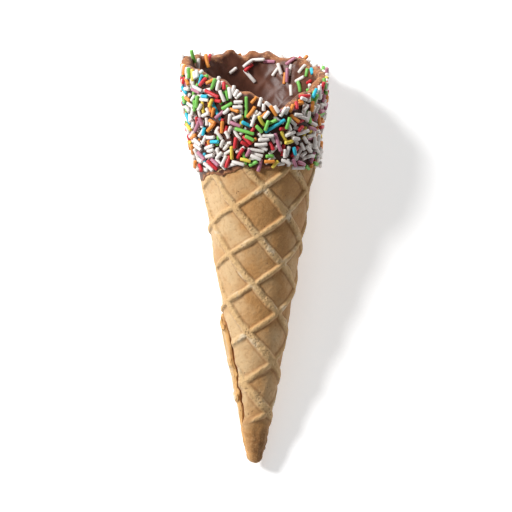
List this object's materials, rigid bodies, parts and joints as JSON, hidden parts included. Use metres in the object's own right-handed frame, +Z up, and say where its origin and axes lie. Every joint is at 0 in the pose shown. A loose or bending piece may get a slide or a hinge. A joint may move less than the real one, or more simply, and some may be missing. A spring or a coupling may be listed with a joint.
{
  "type": "ice cream cone",
  "caption": "Empty rolled waffle cone with a ribbed lattice, lying down, its mouth dipped in chocolate and covered with sugar sprinkles.",
  "frame": {"origin": "on the surface that the cone lies on, under the middle of its bounding box", "axes": "+Y towards the mouth, +Z up from the surface, the notch of the rim on the upper side, a little towards +X"},
  "size_m": [0.056, 0.1578, 0.0519],
  "materials": {
    "wafer": "baked wafer, matte, golden brown with lighter ribs",
    "chocolate": "set milk chocolate, half gloss, under sugar sprinkles of seven colours"
  },
  "bodies": {
    "root": {"waffle_cone": "wafer", "chocolate_dip": "chocolate"}
  },
  "joints": []
}
